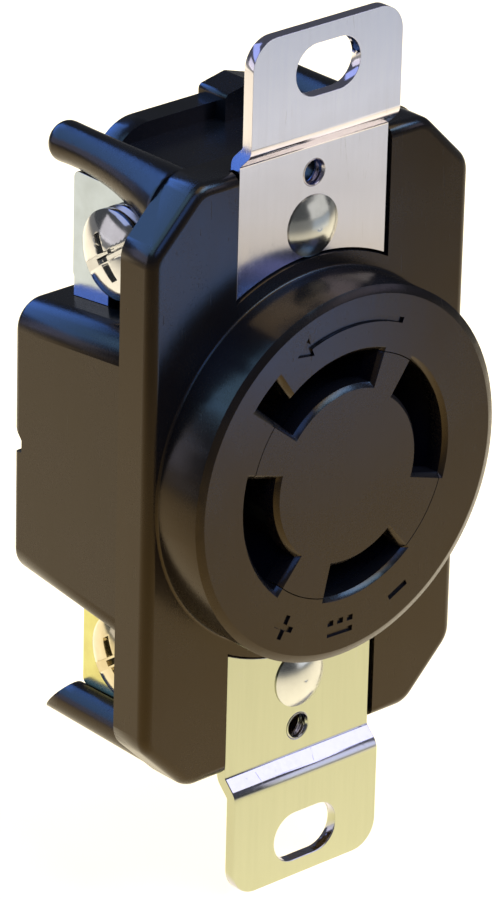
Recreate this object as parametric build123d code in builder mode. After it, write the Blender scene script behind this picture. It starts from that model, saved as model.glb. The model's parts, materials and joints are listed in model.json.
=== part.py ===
from build123d import *
from math import cos, degrees, radians, sin
from typing import NamedTuple
import os

# Flush four-wire locking receptacle.
# Millimetres. X to the right seen from the front, the round face looks along -Y, Z is up.
# The origin is the middle of the box-screw pattern, in the plane where the ears sit on the box.

# ---------------------------------------------------------------- driving dimensions

box_screw_spacing = 83.34        # standard single-device box screws
cover_screw_spacing = 60.33      # standard cover-plate screws
rivet_spacing = 49.2

strap_width = 19.4
strap_overall = 92.4             # ear tip to ear tip
sheet = 1.3                      # plated steel sheet of the two straps
strap_recess = 0.3               # front of the strap body behind the cover's front
ear_corner = 3.0

cover_width = 41.8
cover_height = 64.8
cover_corner_cut = 6.0
cover_depth = 4.6
cover_corner_round = 3.0
cover_edge_round = 1.1

face_diameter = 39.5
face_height = 5.7                # rim of the round face in front of the cover
rim_bevel = 0.35
rim_flat_diameter = 37.8
face_root_round = 0.3

slot_radius = 9.6                # inner edge of the blade slots
core_radius = 12.95              # outer edge of most slots, and of the insert's front disc
hook_outer_radius = 16.3
hook_start = 127
hook_end = 139
slot_edge = 0.45                 # width of the sloped edge round each slot

body_depth = 21.4                # rear of the moulded body behind the ears' seat
block_width = 41.0
block_height = 33.2
tower_width = 20.6
tower_reach = 31.0

terminal_sheet = 1.0
upper_plate_face = 15.0          # outer faces of the terminal plates from the middle plane
lower_plate_face = 13.0
upper_screw_height = 23.0
lower_screw_height = -21.2
screw_depth = 9.6                # terminal screw axis behind the ears' seat
screw_diameter = 4.8
screw_head_diameter = 9.2
screw_pocket = 8.0               # room for the screw's end, from the plate's outer face
contact_rivet_head = 1.4

fit = 0.1                        # clearance between parts that only drop into each other
running_fit = 0.06               # radial clearance round the terminal screws


class Terminal(NamedTuple):
    """One pole: a side terminal, the strip behind it and the contact at the end of the strip."""

    name: str
    side: int                    # -1 left, +1 right
    level: int                   # +1 upper pair, -1 lower pair
    slot_start: float            # blade slot in the face, degrees from +X towards +Z
    slot_end: float
    slot_inner: float            # radii of the slot's two edges
    slot_outer: float
    strip_low: float             # the strip's lower and upper edge, heights
    strip_high: float
    leg_end: float               # height where the leg between plate and strip ends


terminals = (
    Terminal("upper_left", -1, 1, 73, 139, slot_radius, core_radius, 9.0, 14.2, 9.0),
    Terminal("upper_right", 1, 1, -15, 51, slot_radius - 0.4, core_radius, 0.8, 6.2, 0.8),
    Terminal("lower_left", -1, -1, 166, 227, slot_radius, core_radius + 0.55, -13.6, -0.6, -10.6),
    Terminal("lower_right", 1, -1, 259, 307, slot_radius, core_radius, -13.8, -8.2, -8.2),
)

# ---------------------------------------------------------------- shared places and outlines

cover_front = 0.0
strap_front = cover_front + strap_recess
channel_floor = strap_front + sheet
rim_front = -face_height
face_front = rim_front - rim_bevel

face_radius = face_diameter / 2
land_radius = 21.3               # cover surface left standing round the face
strap_arc_radius = land_radius + 0.25

chamber_floor = 18.4
strip_front = chamber_floor - 1.2
contact_radius = (slot_radius + core_radius) / 2


def face_plane(depth):
    """Plane facing the front, at a depth behind the ears' seat."""
    return Plane.XZ.offset(-depth)


def polar(radius, angle):
    """Point in a front-facing sketch."""
    return (radius * cos(radians(angle)), radius * sin(radians(angle)))


def ring_sector(inner, outer, start, end):
    """Piece of a flat ring between two angles."""
    with BuildSketch(mode=Mode.PRIVATE) as sector:
        with BuildLine():
            CenterArc((0, 0), outer, start, end - start)
            CenterArc((0, 0), inner, start, end - start)
            Line(polar(inner, start), polar(outer, start))
            Line(polar(inner, end), polar(outer, end))
        make_face()
    return sector.sketch


def slot_sectors(grow=0.0, grow_angle=0.0):
    """The four blade slots and the upper one's outward hook, optionally grown all round."""
    sectors = []
    for t in terminals:
        start = t.slot_start - grow_angle
        end = t.slot_end + grow_angle
        sectors.append(ring_sector(t.slot_inner - grow, t.slot_outer + grow, start, end))
    hook = (hook_start - grow_angle, hook_end + grow_angle)
    sectors.append(ring_sector(slot_radius, hook_outer_radius + grow / 2, *hook))
    return sectors


def blade_slots(grow=0.0, grow_angle=0.0):
    """Add all the slots to the sketch being drawn."""
    for sector in slot_sectors(grow, grow_angle):
        add(sector)


def slot_bevels():
    """Cutters that slope the front edges of the slots at 45 degrees."""
    slope_angle = degrees(2 * slot_edge / contact_radius)
    with BuildPart() as bevels:
        for narrow, wide in zip(slot_sectors(), slot_sectors(2 * slot_edge, slope_angle)):
            with BuildSketch(face_plane(face_front + slot_edge)):
                add(narrow)
            with BuildSketch(face_plane(face_front - slot_edge)):
                add(wide)
            loft()
    return bevels.part


def plate_face(t):
    """Distance of the terminal plate's outer face from the middle plane."""
    return upper_plate_face if t.level > 0 else lower_plate_face


def screw_height(t):
    """Height of the terminal screw's axis."""
    return upper_screw_height if t.level > 0 else lower_screw_height


def contact_centre(t):
    """Middle of the contact in a front-facing sketch."""
    return polar(contact_radius, (t.slot_start + t.slot_end) / 2)


def screw_seat(t, lift=0.0):
    """Plane on the terminal plate's outer face at the screw, looking outwards."""
    origin = (t.side * (plate_face(t) + lift), screw_depth, screw_height(t))
    return Plane(origin=origin, x_dir=(0, 1, 0), z_dir=(t.side, 0, 0))


def save(part, name):
    """Label a finished piece and write it."""
    part.label = name
    export_step(part, f"parts/{name}.step")


os.makedirs("parts", exist_ok=True)

# ---------------------------------------------------------------- mounting straps

ear_front = -sheet
bend_start = cover_height / 2 + 0.9
bend_end = bend_start + strap_front - ear_front
ear_slot_length = 8.4
ear_slot_height = 5.4
cover_screw_hole = 2.9
rivet_shank = 4.0


def build_strap(level):
    """Plated strap: flat in the cover's channel, cranked forward to the ear."""
    middle = strap_front + sheet / 2
    ear_middle = ear_front + sheet / 2
    with BuildPart() as strap:
        with BuildSketch(Plane.YZ):
            with BuildLine():
                FilletPolyline(
                    (middle, level * face_radius / 2),
                    (middle, level * bend_start),
                    (ear_middle, level * bend_end),
                    (ear_middle, level * strap_overall / 2),
                    radius=1.0,
                )
            trace(line_width=sheet)
        extrude(amount=strap_width / 2, both=True)
        tip = strap.edges().filter_by(Axis.Y).group_by(Axis.Z)[-1 if level > 0 else 0]
        fillet(tip, radius=ear_corner)
        with BuildSketch(face_plane(channel_floor + 1)):
            Circle(strap_arc_radius)
            with Locations((0, level * box_screw_spacing / 2)):
                SlotOverall(ear_slot_length, ear_slot_height)
            with Locations((0, level * cover_screw_spacing / 2)):
                Circle(cover_screw_hole / 2)
            with Locations((0, level * rivet_spacing / 2)):
                Circle(rivet_shank / 2 + fit)
        extrude(amount=channel_floor - ear_front + 2, mode=Mode.SUBTRACT)
    return strap.part


save(build_strap(1), "mounting_strap_upper")
save(build_strap(-1), "mounting_strap_lower")

# ---------------------------------------------------------------- front cover

face_wall = 2.1                  # thickness of the face; the blade slots open out behind it
core_shoulder = face_front + face_wall
core_flange_radius = 17.0
channel_width = strap_width + 0.6
cover_screw_clearance = 3.7
mark_depth = 0.3


def face_marks():
    """Generic marks: a turn arrow over the slots, plus, direct-current and minus below them."""
    middle = 16.3
    stroke = 0.6
    long_stroke = 2.6
    arrow_start, arrow_end = 66, 112
    add(ring_sector(middle - stroke / 2, middle + stroke / 2, arrow_start, arrow_end))
    with Locations(polar(middle, arrow_end)):
        RegularPolygon(1.3, 3, rotation=arrow_end + 90)
    plus, direct_current, minus = (
        Location((*polar(middle, angle), 0), (0, 0, angle + 90)) for angle in (240, 268, 296)
    )
    with Locations(plus):
        Rectangle(long_stroke, stroke)
        Rectangle(stroke, long_stroke)
    with Locations(direct_current):
        with Locations((0, -stroke)):
            Rectangle(1.3 * long_stroke, stroke)
        with Locations((0, stroke)):
            with GridLocations(0.5 * long_stroke, 0, 3, 1):
                Rectangle(0.3 * long_stroke, stroke)
    with Locations(minus):
        Rectangle(long_stroke, stroke)


with BuildPart() as front_cover:
    with BuildSketch(face_plane(cover_depth)) as cover_outline:
        Rectangle(cover_width, cover_height)
        chamfer(cover_outline.vertices(), length=cover_corner_cut)
        fillet(cover_outline.vertices(), radius=cover_corner_round)
    extrude(amount=cover_depth - cover_front)
    fillet(front_cover.faces().sort_by(Axis.Y)[0].edges(), radius=cover_edge_round)
    with BuildSketch(Plane.XY):
        with BuildLine():
            Polyline(
                (0, cover_depth),
                (0, face_front),
                (rim_flat_diameter / 2, face_front),
                (face_radius, rim_front),
                (face_radius, cover_depth),
                close=True,
            )
        make_face()
    revolve(axis=Axis.Y)
    root = front_cover.edges().filter_by(GeomType.CIRCLE).filter_by_position(
        Axis.Y, cover_front - 0.01, cover_front + 0.01
    )
    fillet(root, radius=face_root_round)
    # channels the two straps lie in, ending at the round land
    with BuildSketch(face_plane(channel_floor)):
        Rectangle(channel_width, cover_height + 2)
        Circle(land_radius, mode=Mode.SUBTRACT)
    extrude(amount=channel_floor - cover_front + 1, mode=Mode.SUBTRACT)
    with BuildSketch(face_plane(cover_depth)):
        with GridLocations(0, cover_screw_spacing, 1, 2):
            Circle(cover_screw_clearance / 2)
        with GridLocations(0, rivet_spacing, 1, 2):
            Circle(rivet_shank / 2 + fit)
    extrude(amount=cover_depth + 1, mode=Mode.SUBTRACT)
    # stepped bore for the insert, and the slots' way through the face wall
    with BuildSketch(face_plane(cover_depth)):
        Circle(core_radius)
        blade_slots()
    extrude(amount=cover_depth - face_front + 1, mode=Mode.SUBTRACT)
    with BuildSketch(face_plane(cover_depth)):
        Circle(core_flange_radius)
    extrude(amount=cover_depth - core_shoulder, mode=Mode.SUBTRACT)
    with BuildSketch(face_plane(face_front + mark_depth)):
        face_marks()
    extrude(amount=1, mode=Mode.SUBTRACT)
    add(slot_bevels(), mode=Mode.SUBTRACT)

save(front_cover.part, "front_cover")

# ---------------------------------------------------------------- face insert

with BuildPart() as face_core:
    with BuildSketch(face_plane(cover_depth - fit)):
        Circle(core_flange_radius - fit)
    extrude(amount=cover_depth - core_shoulder - 2 * fit)
    with BuildSketch(face_plane(core_shoulder + 1)):
        Circle(core_radius - fit)
    extrude(amount=core_shoulder + 1 - face_front)
    with BuildSketch(face_plane(cover_depth)):
        blade_slots()
    extrude(amount=cover_depth - face_front + 1, mode=Mode.SUBTRACT)
    # the slots widen into pockets behind the face wall
    with BuildSketch(face_plane(cover_depth)):
        blade_slots(grow=0.8, grow_angle=3)
    extrude(amount=cover_depth - core_shoulder, mode=Mode.SUBTRACT)
    add(slot_bevels(), mode=Mode.SUBTRACT)

save(face_core.part, "face_core")

# ---------------------------------------------------------------- rear body

block_draft = 1.8                # the block is this much lower, top and bottom, at the rear
block_corner = 3.0
block_narrowing = 0.8            # the block is this much narrower at the rear
block_rear_round = 0.8
tower_corner = 5.0
pad_depth = 16.6                 # rear end of the walls that carry the terminal plates
trough_height = 29.2
rear_rim = 2.6                   # thickness of the raised rear edge behind each trough
trough_root = 2.2                # concave radius between the cover's rear and the trough floor
post_x = 13.7
post_z = 30.2
post_top = 32.4                  # the posts' upper edge, level all along
post_tip_radius = 2.2
post_waist_radius = 2.75
post_root_radius = 3.9
post_waist = 10.0                # depth where the flare at the root starts
post_end = 22.3
post_tip_round = 1.2
shelf_root_radius = 2.2
shelf_tip_radius = 1.9
shelf_end = 22.4
shelf_slant = 4.0                # the shelves end this much earlier on their upper side
lug_start = 3.5
lug_rise = 1.7
lug_length = 4.1
lug_round = 0.6
groove_depth = 1.3
groove_top = 1.7                 # the groove's edges on the rear face and on its floor
groove_floor_top = 0.2
groove_floor_bottom = -1.1
groove_bottom = -1.4
chamber_margin = 4               # degrees beyond each blade slot
chamber_inner = 8.4
chamber_outer = 14.2
rivet_tail_room = 0.8            # pocket behind each chamber for the tail of a contact rivet
rivet_tail_gap = 0.5
plate_rear = 18.6                # rear edge of the terminal plates
plate_inner_end = 16.9
plate_tip = 28.4
strip_overlap = 2.7              # the strip runs this far past the middle of the contact
leg_front = 13.2
rivet_recess_radius = 3.5
rivet_recess = 1.8
screw_groove_end = 9.0
screw_end_gap = 0.4              # room round the terminal screw's end and round its head
screw_head_gap = 0.35


def strip_outline(t, gap=0.0):
    """Outline of the strip between terminal plate and contact, grown by a gap."""
    outer = t.side * (plate_face(t) + gap)
    inner = contact_centre(t)[0] - t.side * (strip_overlap + gap)
    with Locations(((outer + inner) / 2, (t.strip_low + t.strip_high) / 2)):
        Rectangle(abs(outer - inner), t.strip_high - t.strip_low + 2 * gap)


def build_block():
    """Middle block, drafted towards its rounded rear edges."""
    with BuildPart() as block:
        with BuildSketch(face_plane(cover_depth)) as front:
            Rectangle(block_width, block_height)
            fillet(front.vertices(), radius=block_corner)
        with BuildSketch(face_plane(body_depth)) as rear:
            Rectangle(block_width - block_narrowing, block_height - 2 * block_draft)
            fillet(rear.vertices(), radius=block_corner)
        loft()
        fillet(block.faces().sort_by(Axis.Y)[-1].edges(), radius=block_rear_round)
    return block.part


def build_towers():
    """Upper and lower tower behind the cover's ends, with pads for the plates and a trough each."""
    with BuildPart() as towers:
        with BuildSketch(face_plane(body_depth)) as outline:
            Rectangle(tower_width, 2 * tower_reach)
            fillet(outline.vertices(), radius=tower_corner)
        extrude(amount=body_depth - cover_depth)
        with BuildSketch(face_plane(pad_depth)):
            for t in terminals:
                pad = plate_face(t) - terminal_sheet - fit / 2
                with Locations((t.side * pad / 2, t.level * trough_height / 2)):
                    Rectangle(pad, trough_height)
        extrude(amount=pad_depth - cover_depth)
        trough_rear = body_depth - rear_rim
        with BuildSketch(Plane.YZ):
            for level in (-1, 1):
                with Locations(((cover_depth + trough_rear) / 2, level * tower_reach)):
                    Rectangle(trough_rear - cover_depth, 2 * (tower_reach - trough_height))
        extrude(amount=tower_width, both=True, mode=Mode.SUBTRACT)
    return towers.part


def trough_roots():
    """Concave fillets that carry the trough floors up to the cover's rear face."""
    with BuildPart() as roots:
        with BuildSketch(Plane.YZ):
            for level in (-1, 1):
                start = (cover_depth, level * (trough_height + trough_root))
                end = (cover_depth + trough_root, level * trough_height)
                with BuildLine():
                    RadiusArc(start, end, -level * trough_root)
                    Line(end, (cover_depth, level * trough_height))
                    Line((cover_depth, level * trough_height), start)
                make_face()
        extrude(amount=post_x, both=True)
    return roots.part


def build_post(side):
    """Long post above the upper terminal: flared at the root, rounded at the tip."""
    with BuildPart() as post:
        for depth, radius in (
            (cover_depth, post_root_radius),
            (post_waist, post_waist_radius),
            (post_end, post_tip_radius),
        ):
            with BuildSketch(face_plane(depth)):
                with Locations((side * post_x, post_top - radius)):
                    Circle(radius)
        loft()
        fillet(post.faces().sort_by(Axis.Y)[-1].edges(), radius=post_tip_round)
    return post.part


def build_shelf(side):
    """Tapered shelf below the lower terminal, cut off at a slant."""
    length = shelf_end - cover_depth
    spare = 0.5
    reach = shelf_root_radius + spare
    with BuildPart() as shelf:
        with Locations((side * post_x, cover_depth + length / 2, -post_z)):
            Cone(shelf_root_radius, shelf_tip_radius, length, rotation=(-90, 0, 0))
        with BuildSketch(Plane.YZ):
            with BuildLine():
                Polyline(
                    (shelf_end + spare, -post_z - reach),
                    (shelf_end + 2 * spare, -post_z - reach),
                    (shelf_end + 2 * spare, -post_z + reach),
                    (shelf_end - shelf_slant, -post_z + reach),
                    close=True,
                )
            make_face()
        extrude(amount=block_width / 2, both=True, mode=Mode.SUBTRACT)
    return shelf.part


def build_lug():
    """Low ridged lug on the upper rear edge, towards +X."""
    foot = tower_reach - tower_corner - 1
    lug_end = tower_width / 2
    with BuildPart() as lug:
        with BuildSketch(face_plane(body_depth)):
            with BuildLine():
                FilletPolyline(
                    (lug_start, foot),
                    (lug_start, tower_reach + lug_rise * 0.6),
                    ((lug_start + lug_end) / 2, tower_reach + lug_rise),
                    (lug_end, tower_reach + lug_rise * 0.4),
                    (lug_end, foot),
                    radius=lug_round,
                    close=True,
                )
            make_face()
        extrude(amount=lug_length)
    return lug.part


def rear_groove():
    """Cutter for the groove across the rear face: a steep upper side and a short lower step."""
    floor = body_depth - groove_depth
    with BuildPart() as groove:
        with BuildSketch(Plane.YZ):
            with BuildLine():
                Polyline(
                    (body_depth + 1, groove_top),
                    (body_depth, groove_top),
                    (floor, groove_floor_top),
                    (floor, groove_floor_bottom),
                    (body_depth, groove_bottom),
                    (body_depth + 1, groove_bottom),
                    close=True,
                )
            make_face()
        extrude(amount=block_width, both=True)
    return groove.part


def contact_chambers():
    """Cutter for the contact chambers and strip channels, open to the front."""
    with BuildPart() as chambers:
        with BuildSketch(face_plane(chamber_floor)):
            for t in terminals:
                start = t.slot_start - chamber_margin
                end = t.slot_end + chamber_margin
                add(ring_sector(chamber_inner, chamber_outer, start, end))
                strip_outline(t, gap=2 * fit)
        extrude(amount=chamber_floor - cover_depth + 1)
        # room for the tails of the contact rivets
        with BuildSketch(face_plane(chamber_floor + rivet_tail_room)):
            for t in terminals:
                with Locations(contact_centre(t)):
                    Circle(contact_rivet_head + rivet_tail_gap)
        extrude(amount=2)
    return chambers.part


def terminal_pocket(t):
    """Cutter for one terminal: the plate's slot, the screw's end, and room beside the post."""
    near = t.level * (plate_inner_end + 1)
    tip = t.level * (plate_tip + fit)
    middle = t.side * (plate_face(t) - terminal_sheet / 2)
    width = terminal_sheet + 2 * fit
    with BuildPart() as pocket:
        with BuildSketch(face_plane(chamber_floor)):
            with Locations((middle, (t.leg_end + near) / 2)):
                Rectangle(width, abs(near - t.leg_end) + 2 * fit)
        extrude(amount=chamber_floor - cover_depth + 1)
        with BuildSketch(face_plane(plate_rear + fit)):
            with Locations((middle, (near + tip) / 2)):
                Rectangle(width, abs(tip - near))
        extrude(amount=plate_rear - cover_depth + 1)
        with BuildSketch(screw_seat(t)):
            Circle(screw_diameter / 2 + screw_end_gap)
        extrude(amount=-screw_pocket)
        with BuildSketch(screw_seat(t, lift=fit / 2)):
            Circle(screw_head_diameter / 2 + screw_head_gap)
        extrude(amount=block_width / 2 - plate_face(t))
    return pocket.part


def fastener_holes():
    """Cutter for the assembly rivets and the ends of the cover-plate screws."""
    with BuildPart() as holes:
        with BuildSketch(face_plane(body_depth)):
            with GridLocations(0, rivet_spacing, 1, 2):
                Circle(rivet_shank / 2 + fit)
        extrude(amount=body_depth)
        with BuildSketch(face_plane(body_depth)):
            with GridLocations(0, rivet_spacing, 1, 2):
                Circle(rivet_recess_radius)
        extrude(amount=rivet_recess)
        with BuildSketch(face_plane(screw_groove_end)):
            with GridLocations(0, cover_screw_spacing, 1, 2):
                Circle(cover_screw_clearance / 2)
        extrude(amount=screw_groove_end)
    return holes.part


with BuildPart() as rear_body:
    add(build_block())
    add(build_towers())
    add(trough_roots())
    add(build_lug())
    for side in (-1, 1):
        add(build_post(side))
        add(build_shelf(side))
    add(rear_groove(), mode=Mode.SUBTRACT)
    add(contact_chambers(), mode=Mode.SUBTRACT)
    for t in terminals:
        add(terminal_pocket(t), mode=Mode.SUBTRACT)
    add(fastener_holes(), mode=Mode.SUBTRACT)

save(rear_body.part, "rear_body")

# ---------------------------------------------------------------- assembly rivets

rivet_head_diameter = 6.4
rivet_head_height = 1.1
rivet_tail_height = 1.2
rivet_tail_bevel = 0.6
rivet_tail_tuck = 0.2            # the rolled tail draws in this much at its seat
rivet_head_lip = 0.15


def build_rivet(level):
    """Domed rivet through strap, cover and body, rolled over in the rear recess."""
    tail_seat = body_depth - rivet_recess
    head_top = strap_front - rivet_head_height
    head_edge = rivet_head_diameter / 2
    with BuildPart() as rivet:
        with BuildSketch(Plane.XY.offset(level * rivet_spacing / 2)):
            with BuildLine():
                Polyline(
                    (0, head_top),
                    (0, tail_seat + rivet_tail_height),
                    (head_edge - rivet_tail_bevel, tail_seat + rivet_tail_height),
                    (head_edge, tail_seat + rivet_tail_height / 2),
                    (head_edge - rivet_tail_tuck, tail_seat),
                    (rivet_shank / 2, tail_seat),
                    (rivet_shank / 2, strap_front),
                    (head_edge, strap_front),
                    (head_edge, strap_front - rivet_head_lip),
                )
                TangentArc((0, head_top), (head_edge, strap_front - rivet_head_lip), tangent=(1, 0))
            make_face()
        revolve(axis=Axis((0, 0, level * rivet_spacing / 2), (0, 1, 0)))
    return rivet.part


save(build_rivet(1), "assembly_rivet_upper")
save(build_rivet(-1), "assembly_rivet_lower")

# ---------------------------------------------------------------- terminals, contacts, screws

plate_front = cover_depth + 0.3
plate_corner = 0.8
leaf = 0.5                       # thickness of the contact leaves
clip_base = strip_front - 0.6
leaf_pinch = 8.2
leaf_mouth = 6.0
mouth_spread = 1.6               # distances of the leaves from the middle of the slot
pinch_spread = 0.95
base_spread = 1.9
leaf_bend = 0.45
clip_inset = 3                   # degrees the contact is short of the slot at each end
contact_rivet_shank = 0.9
contact_rivet_upset = 0.4        # height of the head inside the contact
contact_rivet_tail = 0.6
rivet_hole_gap = 0.05

washer_lift = 0.35               # gap between washer and plate as delivered
washer_cup = 0.45
washer_height = 1.25
washer_radius = 4.6
washer_bevel = 0.6
washer_rim = 0.7                 # width of the ring that touches the plate
head_height = 2.3
head_rim = 0.9                   # height of the head's straight side
head_gap = 0.04                  # between washer and head
head_bevel = 0.3
driver_slot = 1.1                # width of the slot and of the cross
driver_slot_depth = 1.1
driver_turn = 35                 # degrees the slot stands from the body's depth direction
cross_width = 5.2
cross_depth = 1.7
cross_taper = 12
screw_point = 0.5
shank_length = 6.6


def build_terminal_plate(t):
    """Tapped side plate with a leg down to the strip that carries the contact."""
    outer = t.side * plate_face(t)
    tip = t.level * plate_tip
    inner_end = t.level * plate_inner_end
    near = inner_end + t.level
    with BuildPart() as plate:
        with BuildSketch(Plane.YZ.offset(outer)) as blank:
            with Locations(((plate_front + plate_rear) / 2, (tip + inner_end) / 2)):
                Rectangle(plate_rear - plate_front, abs(tip - inner_end))
            fillet(blank.vertices(), radius=plate_corner)
            with Locations(((leg_front + chamber_floor) / 2, (t.leg_end + near) / 2)):
                Rectangle(chamber_floor - leg_front, abs(near - t.leg_end))
        extrude(amount=-t.side * terminal_sheet)
        with BuildSketch(face_plane(chamber_floor)):
            strip_outline(t)
        extrude(amount=chamber_floor - strip_front)
        with BuildSketch(screw_seat(t, lift=1)):
            Circle(screw_diameter / 2 + running_fit)
        extrude(amount=-terminal_sheet - 2, mode=Mode.SUBTRACT)
        with BuildSketch(face_plane(chamber_floor + 1)):
            with Locations(contact_centre(t)):
                Circle(contact_rivet_shank + rivet_hole_gap)
        extrude(amount=3, mode=Mode.SUBTRACT)
    return plate.part


def build_contact_clip(t):
    """Double-leaf contact that follows the arc of its blade slot."""
    start = t.slot_start + clip_inset
    span = t.slot_end - t.slot_start - 2 * clip_inset
    spoke = Plane(
        origin=(0, 0, 0),
        x_dir=(cos(radians(start)), 0, sin(radians(start))),
        z_dir=(-sin(radians(start)), 0, cos(radians(start))),
    )
    base = clip_base + leaf / 2
    with BuildPart() as clip:
        with BuildSketch(spoke):
            with BuildLine():
                FilletPolyline(
                    (contact_radius - mouth_spread, leaf_mouth),
                    (contact_radius - pinch_spread, leaf_pinch),
                    (contact_radius - base_spread, base),
                    (contact_radius + base_spread, base),
                    (contact_radius + pinch_spread, leaf_pinch),
                    (contact_radius + mouth_spread, leaf_mouth),
                    radius=leaf_bend,
                )
            trace(line_width=leaf)
        revolve(axis=Axis((0, 0, 0), (0, -1, 0)), revolution_arc=span)
        with BuildSketch(face_plane(strip_front + 1)):
            with Locations(contact_centre(t)):
                Circle(contact_rivet_shank + rivet_hole_gap)
        extrude(amount=3, mode=Mode.SUBTRACT)
    return clip.part


def build_contact_rivet(t):
    """Small rivet that holds the contact on its strip."""
    with BuildPart() as rivet:
        for depth, length, radius in (
            (clip_base, contact_rivet_upset, contact_rivet_head - fit),
            (chamber_floor, chamber_floor - clip_base, contact_rivet_shank),
            (chamber_floor + contact_rivet_tail, contact_rivet_tail, contact_rivet_head),
        ):
            with BuildSketch(face_plane(depth)):
                with Locations(contact_centre(t)):
                    Circle(radius)
            extrude(amount=length)
    return rivet.part


def build_pressure_washer(t):
    """Cupped washer that presses the wire on the terminal plate."""
    with BuildPart() as washer:
        with BuildSketch(screw_seat(t, lift=washer_lift)):
            Circle(washer_radius)
        extrude(amount=washer_height)
        rim = washer.edges().filter_by(GeomType.CIRCLE).sort_by(Axis.X)[-1 if t.side > 0 else 0]
        chamfer(rim, length=washer_bevel)
        with BuildSketch(screw_seat(t, lift=washer_lift)):
            Circle(washer_radius - washer_rim)
        extrude(amount=washer_cup, mode=Mode.SUBTRACT)
        with BuildSketch(screw_seat(t)):
            Circle(screw_diameter / 2 + running_fit)
        extrude(amount=washer_height + 1, mode=Mode.SUBTRACT)
    return washer.part


def build_terminal_screw(t):
    """Binding-head screw with a crowned top, a slot and a cross recess."""
    seat = screw_seat(t)
    head_seat = washer_lift + washer_height + head_gap
    head_radius = screw_head_diameter / 2
    shank_radius = screw_diameter / 2
    end = head_seat - shank_length
    with BuildPart() as screw:
        with BuildSketch(Plane(origin=seat.origin, x_dir=seat.x_dir, z_dir=seat.x_dir.cross(seat.z_dir))):
            with BuildLine():
                Polyline(
                    (0, head_seat + head_height),
                    (0, end),
                    (shank_radius - screw_point, end),
                    (shank_radius, end + screw_point),
                    (shank_radius, head_seat),
                    (head_radius - head_bevel, head_seat),
                    (head_radius, head_seat + head_bevel),
                    (head_radius, head_seat + head_rim),
                )
                TangentArc((0, head_seat + head_height), (head_radius, head_seat + head_rim), tangent=(1, 0))
            make_face()
        revolve(axis=Axis(seat.origin, seat.z_dir))
        with BuildSketch(screw_seat(t, lift=head_seat + head_height)):
            with Locations(Location((0, 0, 0), (0, 0, driver_turn))):
                Rectangle(screw_head_diameter + 1, driver_slot)
        extrude(amount=-driver_slot_depth, mode=Mode.SUBTRACT)
        with BuildSketch(screw_seat(t, lift=head_seat + head_height)):
            with Locations(Location((0, 0, 0), (0, 0, driver_turn))):
                Rectangle(cross_width, driver_slot)
                Rectangle(driver_slot, cross_width)
        extrude(amount=-cross_depth, taper=cross_taper, mode=Mode.SUBTRACT)
    return screw.part


for pole in terminals:
    save(build_terminal_plate(pole), f"terminal_plate_{pole.name}")
    save(build_contact_clip(pole), f"contact_clip_{pole.name}")
    save(build_contact_rivet(pole), f"contact_rivet_{pole.name}")
    save(build_pressure_washer(pole), f"pressure_washer_{pole.name}")
    save(build_terminal_screw(pole), f"terminal_screw_{pole.name}")
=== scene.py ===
import json
from math import atan, cos, pi, radians, sin, tau

import bmesh
import bpy
from mathutils import Matrix, Vector


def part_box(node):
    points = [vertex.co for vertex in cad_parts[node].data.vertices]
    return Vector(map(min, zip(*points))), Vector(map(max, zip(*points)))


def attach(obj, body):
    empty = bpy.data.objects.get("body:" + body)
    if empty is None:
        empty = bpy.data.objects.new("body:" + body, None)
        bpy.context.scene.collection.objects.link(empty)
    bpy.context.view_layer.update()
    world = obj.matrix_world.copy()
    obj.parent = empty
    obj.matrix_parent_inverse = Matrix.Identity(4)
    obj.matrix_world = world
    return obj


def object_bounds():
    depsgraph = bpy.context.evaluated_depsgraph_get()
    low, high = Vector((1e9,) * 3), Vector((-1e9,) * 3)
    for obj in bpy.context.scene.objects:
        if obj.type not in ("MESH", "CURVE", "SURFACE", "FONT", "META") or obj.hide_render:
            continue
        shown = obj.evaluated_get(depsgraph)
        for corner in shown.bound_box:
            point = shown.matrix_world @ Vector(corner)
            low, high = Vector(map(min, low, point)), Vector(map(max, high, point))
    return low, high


# A flush locking receptacle. Metres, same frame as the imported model: +X to the right seen from
# the front, the round face looks along -Y, +Z up, origin in the middle of the box-screw pattern.

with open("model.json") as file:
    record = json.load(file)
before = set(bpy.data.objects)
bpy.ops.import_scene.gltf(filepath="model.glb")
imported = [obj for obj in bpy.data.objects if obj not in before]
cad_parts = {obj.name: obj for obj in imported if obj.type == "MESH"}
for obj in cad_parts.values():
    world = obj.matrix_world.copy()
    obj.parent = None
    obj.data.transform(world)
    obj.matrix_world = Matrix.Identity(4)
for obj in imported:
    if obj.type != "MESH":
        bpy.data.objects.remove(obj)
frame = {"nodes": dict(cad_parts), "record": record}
cad_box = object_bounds()
nodes = frame["nodes"]

MM = 0.001
POLES = ("upper_left", "upper_right", "lower_left", "lower_right")


# ---------------------------------------------------------------- material helpers

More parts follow.
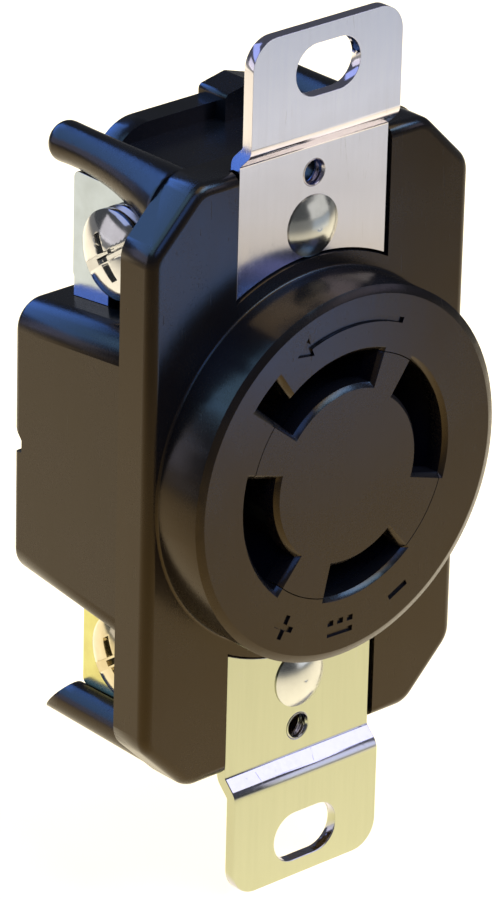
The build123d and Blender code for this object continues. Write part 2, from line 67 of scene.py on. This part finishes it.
class Shader:
    """A node tree with a Principled shader, fed with textures in the object's own coordinates."""

    def __init__(self, name, **sockets):
        self.material = bpy.data.materials.new(name)
        self.material.use_nodes = True
        self.tree = self.material.node_tree
        self.surface = self.tree.nodes["Principled BSDF"]
        self.place = self.add("ShaderNodeTexCoord").outputs["Object"]
        for socket, value in sockets.items():
            self.surface.inputs[socket.replace("_", " ")].default_value = value

    def add(self, kind, **settings):
        """New node with its properties set."""
        node = self.tree.nodes.new(kind)
        for setting, value in settings.items():
            setattr(node, setting, value)
        return node

    def link(self, source, target):
        """Wire an output to an input."""
        self.tree.links.new(source, target)

    def stretched(self, scale):
        """Object coordinates multiplied axis by axis, for grain that runs one way."""
        mapping = self.add("ShaderNodeMapping")
        mapping.inputs["Scale"].default_value = scale
        self.link(self.place, mapping.inputs["Vector"])
        return mapping.outputs["Vector"]

    def noise(self, size, detail=3.0, roughness=0.55, place=None):
        """Noise value, with features about this many metres across."""
        node = self.add("ShaderNodeTexNoise")
        node.inputs["Scale"].default_value = 1 / size
        node.inputs["Detail"].default_value = detail
        node.inputs["Roughness"].default_value = roughness
        self.link(place or self.place, node.inputs["Vector"])
        return node.outputs["Fac"]

    def remap(self, value, low, high, to_low=0.0, to_high=1.0):
        """Value moved from one range to another and clamped there."""
        node = self.add("ShaderNodeMapRange")
        node.inputs["From Min"].default_value = low
        node.inputs["From Max"].default_value = high
        node.inputs["To Min"].default_value = to_low
        node.inputs["To Max"].default_value = to_high
        self.link(value, node.inputs["Value"])
        return node.outputs["Result"]

    def math(self, operation, first, second):
        """One arithmetic step; the second operand is a number or a socket."""
        node = self.add("ShaderNodeMath", operation=operation)
        self.link(first, node.inputs[0])
        if isinstance(second, (int, float)):
            node.inputs[1].default_value = second
        else:
            self.link(second, node.inputs[1])
        return node.outputs["Value"]

    def mix(self, share, first, second):
        """Colour between two, each a colour or a socket."""
        node = self.add("ShaderNodeMix", data_type="RGBA")
        self.link(share, node.inputs["Factor"])
        for socket, colour in (("A", first), ("B", second)):
            target = [s for s in node.inputs if s.name == socket and s.type == "RGBA"][0]
            if isinstance(colour, tuple):
                target.default_value = (*colour, 1)
            else:
                self.link(colour, target)
        return [s for s in node.outputs if s.type == "RGBA"][0]

    def edges(self, radius):
        """How strongly a point lies on an edge: 0 on flats, towards 1 where faces meet."""
        rounded = self.add("ShaderNodeBevel", samples=8)
        rounded.inputs["Radius"].default_value = radius
        plain = self.add("ShaderNodeNewGeometry")
        compare = self.add("ShaderNodeVectorMath", operation="DOT_PRODUCT")
        self.link(rounded.outputs["Normal"], compare.inputs[0])
        self.link(plain.outputs["Normal"], compare.inputs[1])
        fully_on_edge = 0.9
        return self.remap(compare.outputs["Value"], 1.0, fully_on_edge)

    def coordinate(self, axis):
        """One coordinate of the object's own space."""
        split = self.add("ShaderNodeSeparateXYZ")
        self.link(self.place, split.inputs["Vector"])
        return split.outputs[axis]

    def facing(self, axis):
        """How far the surface faces along one axis, either way: 0 to 1."""
        split = self.add("ShaderNodeSeparateXYZ")
        self.link(self.add("ShaderNodeNewGeometry").outputs["Normal"], split.inputs["Vector"])
        return self.math("ABSOLUTE", split.outputs[axis], 0.0)

    def scratches(self, size, amount, angle):
        """Thin broken lines at an angle in the XZ plane: 1 on a scratch, 0 elsewhere."""
        mapping = self.add("ShaderNodeMapping")
        mapping.inputs["Rotation"].default_value = (0, angle, 0)
        drawn_out = 0.06
        mapping.inputs["Scale"].default_value = (1 / size, 1 / size, drawn_out / size)
        self.link(self.place, mapping.inputs["Vector"])
        cells = self.add("ShaderNodeTexVoronoi", feature="DISTANCE_TO_EDGE")
        cells.inputs["Scale"].default_value = 1.0
        self.link(mapping.outputs["Vector"], cells.inputs["Vector"])
        line_width = 0.010
        line = self.remap(cells.outputs["Distance"], line_width, 0.0)
        broken = self.remap(self.noise(size * 0.8), 0.68 - amount, 0.74 - amount)
        return self.math("MULTIPLY", line, broken)

    def bump(self, value, depth, below=None):
        """Relief of this depth in metres, on top of another relief."""
        node = self.add("ShaderNodeBump")
        node.inputs["Strength"].default_value = 1.0
        node.inputs["Distance"].default_value = depth
        self.link(value, node.inputs["Height"])
        if below is not None:
            self.link(below, node.inputs["Normal"])
        return node.outputs["Normal"]

    def finish(self, colour, roughness, normal):
        """Wire the three results to the surface and hand over the material."""
        self.link(colour, self.surface.inputs["Base Color"])
        self.link(roughness, self.surface.inputs["Roughness"])
        self.link(normal, self.surface.inputs["Normal"])
        return self.material


# ---------------------------------------------------------------- materials

PLASTIC_TINT = (1.0, 0.64, 0.20)    # warm tint of the plastic's highlights
PAINTED_LILAC_REFLECTION = (0.56, 0.55, 0.84)          # painted reflection: lilac laid on faces of the plated straps that turn up or down, as their bends do
SCRATCH_GREY = (0.45, 0.43, 0.40)


def moulded_plastic(name, dark, light, gloss, shine=0.42):
    """Semi-gloss black-brown moulding: cloudy colour, mould skin, faint flow lines and rubs."""
    shader = Shader(name, Specular_Tint=(*PLASTIC_TINT, 1), Specular_IOR_Level=shine)
    clouds = shader.noise(9 * MM, detail=4)
    skin = shader.noise(0.22 * MM, detail=3, roughness=0.7)
    flow = shader.noise(1.6 * MM, detail=2, place=shader.stretched((1.0, 0.35, 0.12)))
    edge = shader.edges(0.3 * MM)
    worn = shader.math("MULTIPLY", edge, shader.remap(shader.noise(1.1 * MM), 0.48, 0.62))
    rubs = shader.scratches(2.6 * MM, 0.12, radians(35))
    colour = shader.mix(shader.remap(clouds, 0.35, 0.68), dark, light)
    edge_tone = tuple(1.8 * channel for channel in light)
    colour = shader.mix(shader.math("MULTIPLY", worn, 0.3), colour, edge_tone)
    rough = shader.remap(clouds, 0.3, 0.7, gloss, gloss + 0.06)
    rough = shader.math("ADD", rough, shader.remap(skin, 0.4, 0.7, 0.0, 0.05))
    rough = shader.math("ADD", rough, shader.math("MULTIPLY", rubs, 0.10))
    relief = shader.bump(skin, 0.005 * MM)
    relief = shader.bump(flow, 0.010 * MM, relief)
    relief = shader.bump(rubs, -0.004 * MM, relief)
    return shader.finish(colour, rough, relief)


def plated_sheet(name, cool, warm, cool_end, warm_end):
    """Bright-plated rolled sheet; the tone turns from cool to warm between two heights, a painted
    gradient of reflected light.
    """
    shader = Shader(name, Metallic=1.0)
    blotches = shader.noise(11 * MM, detail=3)
    grain = shader.noise(0.5 * MM, detail=2, place=shader.stretched((1.0, 1.0, 0.05)))
    # painted reflection: the tone follows the height, with random blotches shifting the band up or down
    painted_light_height = shader.math("ADD", shader.coordinate("Z"), shader.remap(blotches, 0.2, 0.8, -3 * MM, 3 * MM))
    tone = shader.mix(shader.remap(painted_light_height, cool_end, warm_end), cool, warm)
    grain_tone = tuple(0.7 * channel for channel in cool)
    tone = shader.mix(shader.remap(grain, 0.35, 0.75, 0.0, 0.12), tone, grain_tone)
    # painted reflection: faces that turn up or down, as the bends do, take on lilac
    tone = shader.mix(shader.remap(shader.facing("Z"), 0.12, 0.5, 0.0, 0.6), tone, PAINTED_LILAC_REFLECTION)
    marks = shader.scratches(3.2 * MM, 0.10, radians(70))
    fine = shader.scratches(1.3 * MM, 0.10, radians(-25))
    tone = shader.mix(shader.math("MULTIPLY", marks, 0.2), tone, SCRATCH_GREY)
    rough = shader.remap(blotches, 0.25, 0.75, 0.10, 0.17)
    rough = shader.math("ADD", rough, shader.remap(grain, 0.3, 0.7, -0.02, 0.03))
    rough = shader.math("ADD", rough, shader.math("MULTIPLY", marks, 0.12))
    relief = shader.bump(grain, 0.0015 * MM)
    relief = shader.bump(blotches, 0.02 * MM, relief)
    relief = shader.bump(fine, -0.003 * MM, relief)
    relief = shader.bump(marks, -0.006 * MM, relief)
    return shader.finish(tone, rough, relief)


def turned_metal(name, bright, shade, gloss):
    """Plated headed or pressed metal: faint tool lines, shallow waves and dulled patches."""
    shader = Shader(name, Metallic=1.0)
    patches = shader.noise(2.2 * MM, detail=3)
    lines = shader.noise(0.16 * MM, detail=2, place=shader.stretched((0.2, 1.0, 1.0)))
    waves = shader.noise(1.6 * MM, detail=1)
    tone = shader.mix(shader.remap(patches, 0.35, 0.7), bright, shade)
    rough = shader.remap(patches, 0.3, 0.75, gloss, gloss + 0.07)
    rough = shader.math("ADD", rough, shader.remap(lines, 0.35, 0.65, 0.0, 0.03))
    relief = shader.bump(lines, 0.0012 * MM)
    relief = shader.bump(waves, 0.010 * MM, relief)
    return shader.finish(tone, rough, relief)


cover_plastic = moulded_plastic(
    "cover_plastic", dark=(0.006, 0.004, 0.002), light=(0.010, 0.007, 0.003), gloss=0.20
)
core_plastic = moulded_plastic(
    "core_plastic", dark=(0.006, 0.004, 0.002), light=(0.009, 0.006, 0.003), gloss=0.24
)
body_plastic = moulded_plastic(
    "body_plastic", dark=(0.005, 0.004, 0.002), light=(0.009, 0.006, 0.003), gloss=0.21, shine=0.36
)
# painted light: the upper strap is light and cool at its ear and darker and warmer lower down
upper_zinc = plated_sheet(
    "upper_strap_zinc",
    cool=(0.86, 0.82, 0.84),
    warm=(0.64, 0.60, 0.60),
    cool_end=38 * MM,
    warm_end=28 * MM,
)
lower_zinc = plated_sheet(
    "lower_strap_zinc",
    cool=(0.45, 0.46, 0.31),
    warm=(0.46, 0.47, 0.32),
    cool_end=-30 * MM,
    warm_end=-46 * MM,
)
rivet_nickel = turned_metal("rivet_nickel", (0.62, 0.62, 0.57), (0.55, 0.55, 0.50), 0.15)
screw_nickel = turned_metal("screw_nickel", (0.62, 0.62, 0.62), (0.54, 0.53, 0.52), 0.07)
washer_zinc = turned_metal("washer_zinc", (0.60, 0.59, 0.58), (0.48, 0.47, 0.46), 0.18)
terminal_nickel = turned_metal("terminal_nickel", (0.48, 0.55, 0.63), (0.43, 0.49, 0.55), 0.12)
terminal_brass = turned_metal("terminal_brass", (0.56, 0.55, 0.22), (0.50, 0.46, 0.18), 0.12)
screw_brass = turned_metal("screw_brass", (0.60, 0.53, 0.36), (0.50, 0.42, 0.26), 0.08)
contact_bronze = turned_metal("contact_bronze", (0.62, 0.40, 0.18), (0.42, 0.25, 0.10), 0.20)


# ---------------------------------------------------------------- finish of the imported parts

WELD_REACH = 0.001 * MM
FLAT_ANGLE = radians(0.4)      # faces of a sheet that differ by less are one flat
SHARP_ANGLE = radians(35)      # edges that turn by more get rounded


def dress(node, material):
    """Give a part its material."""
    part = nodes[node]
    part.data.materials.clear()
    part.data.materials.append(material)
    return part


def soften(node, width, material, sheet=False):
    """Dress a part and round its sharp edges a little; sheet parts get joined flats."""
    part = dress(node, material)
    weld = part.modifiers.new("weld", "WELD")
    weld.merge_threshold = WELD_REACH
    if sheet:
        flats = part.modifiers.new("join_flat_faces", "DECIMATE")
        flats.decimate_type = "DISSOLVE"
        flats.angle_limit = FLAT_ANGLE
    bevel = part.modifiers.new("edge_round", "BEVEL")
    bevel.width = width
    bevel.segments = 2
    bevel.limit_method = "ANGLE"
    bevel.angle_limit = SHARP_ANGLE
    bevel.use_clamp_overlap = True
    bevel.harden_normals = True


soften("front_cover", 0.12 * MM, cover_plastic)
soften("face_core", 0.10 * MM, core_plastic)
soften("rear_body", 0.15 * MM, body_plastic)
soften("mounting_strap_upper", 0.12 * MM, upper_zinc, sheet=True)
soften("mounting_strap_lower", 0.12 * MM, lower_zinc, sheet=True)
dress("assembly_rivet_upper", rivet_nickel)
dress("assembly_rivet_lower", rivet_nickel)
for pole in POLES:
    upper = pole.startswith("upper")
    plate_metal = terminal_nickel if upper else terminal_brass
    screw_metal = screw_nickel if upper else screw_brass
    soften(f"terminal_plate_{pole}", 0.08 * MM, plate_metal, sheet=True)
    soften(f"contact_clip_{pole}", 0.04 * MM, contact_bronze)
    soften(f"contact_rivet_{pole}", 0.04 * MM, rivet_nickel)
    soften(f"pressure_washer_{pole}", 0.06 * MM, washer_zinc)
    soften(f"terminal_screw_{pole}", 0.06 * MM, screw_metal)


# ---------------------------------------------------------------- threads

COVER_SCREW_PITCH = 25.4 / 32 * MM    # 32 turns to the inch
THREAD_DEPTH = 0.22 * MM
THREAD_CLEARANCE = 0.01 * MM
SPOKES = 48
STEPS_PER_TURN = 8


def ring(shape, radius_at, y):
    """Closed ring of vertices round the Y axis; the radius depends on the spoke."""
    vertices = []
    for spoke in range(SPOKES):
        angle = tau * spoke / SPOKES
        radius = radius_at(spoke)
        vertices.append(shape.verts.new((radius * cos(angle), y, radius * sin(angle))))
    return vertices


def join_rings(shape, first, second):
    """Band of faces between two rings."""
    for spoke in range(SPOKES):
        after = (spoke + 1) % SPOKES
        shape.faces.new([first[spoke], second[spoke], second[after], first[after]])


def helical_liner(name, radius, depth, pitch, length):
    """Thin ring whose inner wall carries a helical thread, along +Y from the origin."""
    steps = STEPS_PER_TURN * round(length / pitch)
    shape = bmesh.new()
    inner, outer = [], []
    for step in range(steps + 1):
        y = length * step / steps

        def crest(spoke):
            phase = (y / pitch - spoke / SPOKES) % 1.0
            return radius - depth * (1 - abs(2 * phase - 1))

        inner.append(ring(shape, crest, y))
        outer.append(ring(shape, lambda spoke: radius, y))
    for wall in (inner, outer):
        for lower, upper in zip(wall, wall[1:]):
            join_rings(shape, lower, upper)
    join_rings(shape, inner[0], outer[0])
    join_rings(shape, inner[-1], outer[-1])
    bmesh.ops.recalc_face_normals(shape, faces=shape.faces)
    mesh = bpy.data.meshes.new(name)
    shape.to_mesh(mesh)
    shape.free()
    mesh.shade_smooth()
    liner = bpy.data.objects.new(name, mesh)
    bpy.context.collection.objects.link(liner)
    return liner


mounts = {mount["name"]: mount for mount in frame["record"]["mounts"]}
cover_screws = mounts["cover_plate_screws"]
hole_radius = cover_screws["dims"]["hole_r_mm"] * MM
hole_spacing = cover_screws["dims"]["spacing_y_mm"] * MM
for level, word, material in ((1, "upper", upper_zinc), (-1, "lower", lower_zinc)):
    sheet_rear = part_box(f"mounting_strap_{word}")[1].y
    sheet_front = 2 * cover_screws["pos_m"][1] - sheet_rear
    thread = helical_liner(
        f"cover_screw_thread_{word}",
        hole_radius - THREAD_CLEARANCE,
        THREAD_DEPTH,
        COVER_SCREW_PITCH,
        sheet_rear - sheet_front,
    )
    thread.location = (0, sheet_front, level * hole_spacing / 2)
    thread.data.materials.append(material)
    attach(thread, "housing")


# ---------------------------------------------------------------- floor, light and camera

low, high = cad_box
middle = (low + high) / 2
height = high.z - low.z
floor_gap = 0.2 * MM


def pale_floor():
    """Wide plain floor under the lower ear."""
    half_side = 40 * height
    mesh = bpy.data.meshes.new("floor")
    shape = bmesh.new()
    bmesh.ops.create_grid(shape, x_segments=1, y_segments=1, size=half_side)
    shape.to_mesh(mesh)
    shape.free()
    floor = bpy.data.objects.new("floor", mesh)
    floor.location = (middle.x, middle.y, low.z - floor_gap)
    bpy.context.collection.objects.link(floor)
    shader = Shader("pale_floor", Specular_IOR_Level=0.2)
    cloud = shader.noise(60 * MM)
    colour = shader.mix(shader.remap(cloud, 0.3, 0.7), (0.91, 0.91, 0.91), (0.93, 0.93, 0.93))
    rough = shader.remap(cloud, 0.3, 0.7, 0.55, 0.65)
    floor.data.materials.append(shader.finish(colour, rough, shader.bump(cloud, 0.01 * MM)))
    return floor


def direction(azimuth, elevation):
    """Unit vector from the object. Azimuth 0 is in front of the face, 90 to its right, in degrees."""
    around, above = radians(azimuth), radians(elevation)
    return Vector((sin(around) * cos(above), -cos(around) * cos(above), sin(above)))


def place_lamp(data, away, distance):
    """Lamp in a direction from the middle of the object, aimed back at it."""
    lamp = bpy.data.objects.new(data.name, data)
    lamp.location = middle + distance * away
    lamp.rotation_euler = away.to_track_quat("Z", "Y").to_euler()
    bpy.context.collection.objects.link(lamp)
    return lamp


def broad_key(azimuth, elevation, strength, spread, colour):
    """Very wide even light with soft shadows; the spread is in degrees."""
    data = bpy.data.lights.new("key", "SUN")
    data.energy = strength
    data.angle = radians(spread)
    data.color = colour
    well_outside = 8 * height
    return place_lamp(data, direction(azimuth, elevation), well_outside)


def soft_box(name, azimuth, elevation, distance, width, tall, radiance, colour):
    """Rectangular soft box; its power follows from the brightness its surface should have."""
    data = bpy.data.lights.new(name, "AREA")
    data.shape = "RECTANGLE"
    data.size = width
    data.size_y = tall
    data.energy = radiance * pi * width * tall
    data.color = colour
    lamp = place_lamp(data, direction(azimuth, elevation), distance)
    lamp.visible_camera = False
    return lamp


def light_only(lamp, receivers):
    """Let a lamp reach only these objects."""
    group = bpy.data.collections.new(lamp.name + "_receivers")
    for receiver in receivers:
        group.objects.link(receiver)
    lamp.light_linking.receiver_collection = group
    return group


def floor_pool(across, behind, height_above, reach, radiance, colour):
    """Wide soft pool of shadowless light on the floor, strongest behind the object."""
    data = bpy.data.lights.new("floor_pool", "SPOT")
    data.spot_size = 2 * atan(reach / height_above)
    data.spot_blend = 1.0
    data.shadow_soft_size = 0.06    # the lamp's radius
    power_per_intensity = 4 * pi
    data.energy = radiance * pi * power_per_intensity * height_above ** 2
    data.color = colour
    lamp = bpy.data.objects.new("floor_pool", data)
    lamp.location = (across, behind, low.z + height_above)
    bpy.context.collection.objects.link(lamp)
    lamp.light_linking.blocker_collection = light_only(lamp, [floor])


floor = pale_floor()
plastics = [nodes[name] for name in ("front_cover", "face_core", "rear_body")]
metals = [part for part in nodes.values() if part not in plastics]
broad_key(azimuth=30, elevation=66, strength=0.7, spread=40, colour=(1.0, 0.98, 0.95))
floor_pool(
    across=0.06,
    behind=0.14,
    height_above=1.0,
    reach=0.36,
    radiance=1.8,
    colour=(1.0, 0.88, 0.64),
)

# Soft boxes, each with azimuth and elevation in degrees, distance, width and height in metres,
# brightness and colour. The first group reaches only plastic parts, the second only metal ones.
COOL = (0.08, 0.24, 1.0)
PLASTIC_BOXES = {
    "cool_side": (-104, 47, 0.8, 0.50, 0.45, 8.5, COOL),
    "cool_back": (-160, 34, 0.8, 0.90, 0.50, 8.5, COOL),
    "cool_top": (-110, 68, 0.8, 0.50, 0.30, 5.0, COOL),
    "cool_shoulder": (-35, 42, 0.9, 0.50, 0.36, 13.0, (0.03, 0.11, 1.0)),
    "cool_horizon": (-132, 5, 0.9, 0.50, 0.36, 3.4, (0.30, 0.40, 1.0)),
    "cool_low": (24, -11.3, 0.11, 0.055, 0.024, 7.0, (0.03, 0.20, 1.0)),
    "cool_front": (36, 50, 0.9, 0.50, 0.34, 28.0, (0.08, 0.23, 1.0)),
    "cool_rim": (42, 22, 0.9, 0.40, 0.26, 3.4, (0.30, 0.37, 1.0)),
}
METAL_BOXES = {
    "ear_card": (42, -2.4, 0.12, 0.09, 0.038, 0.36, (0.55, 0.72, 1.0)),
    "front_sky": (42, 12, 0.9, 0.80, 0.45, 0.8, (1.0, 0.98, 1.0)),
    "side_sky": (-124, 6, 0.9, 0.70, 0.40, 0.9, (0.97, 0.93, 1.0)),
    "sky_back": (-140, 42, 0.8, 0.90, 0.40, 1.0, (0.45, 0.55, 1.0)),
    "bend_light": (57, 41, 0.9, 0.34, 0.30, 2.3, (0.78, 0.78, 1.0)),
}
for lamps, receivers in ((PLASTIC_BOXES, plastics), (METAL_BOXES, metals)):
    for name, settings in lamps.items():
        light_only(soft_box(name, *settings), receivers)

SKY_COLOUR = (0.85, 0.90, 1.0)
SKY_STRENGTH = 0.10
world = bpy.data.worlds.new("studio")
bpy.context.scene.world = world
world.use_nodes = True
world.node_tree.nodes["Background"].inputs["Color"].default_value = (*SKY_COLOUR, 1)
world.node_tree.nodes["Background"].inputs["Strength"].default_value = SKY_STRENGTH
bpy.context.scene.view_settings.view_transform = "Standard"

VIEW_AZIMUTH = radians(-42.2)    # the camera stands to the left of the face
VIEW_ELEVATION = radians(24.8)
VIEW_ROLL = radians(1.47)
VIEW_DISTANCE = 6.59 * height
VIEW_SHIFT = (0.0039, 0.0087)
VIEW_AIM = Vector((-4.39, 4.02, -0.42)) * MM
LENS = 246.0                     # millimetres
SENSOR_HEIGHT = 36               # millimetres


def photo_camera():
    """Long-lens camera at the photographed angle, aimed just left of the object's middle."""
    data = bpy.data.cameras.new("camera")
    data.sensor_fit = "VERTICAL"
    data.sensor_height = SENSOR_HEIGHT
    data.lens = LENS
    data.shift_x, data.shift_y = VIEW_SHIFT
    data.clip_start = 0.01
    data.clip_end = 20
    camera = bpy.data.objects.new("camera", data)
    back = Vector((
        sin(VIEW_AZIMUTH) * cos(VIEW_ELEVATION),
        -cos(VIEW_AZIMUTH) * cos(VIEW_ELEVATION),
        sin(VIEW_ELEVATION),
    ))
    place = Matrix.Translation(VIEW_AIM + VIEW_DISTANCE * back)
    turn = back.to_track_quat("Z", "Y").to_matrix().to_4x4()
    camera.matrix_world = place @ turn @ Matrix.Rotation(VIEW_ROLL, 4, "Z")
    bpy.context.collection.objects.link(camera)
    bpy.context.scene.camera = camera


photo_camera()
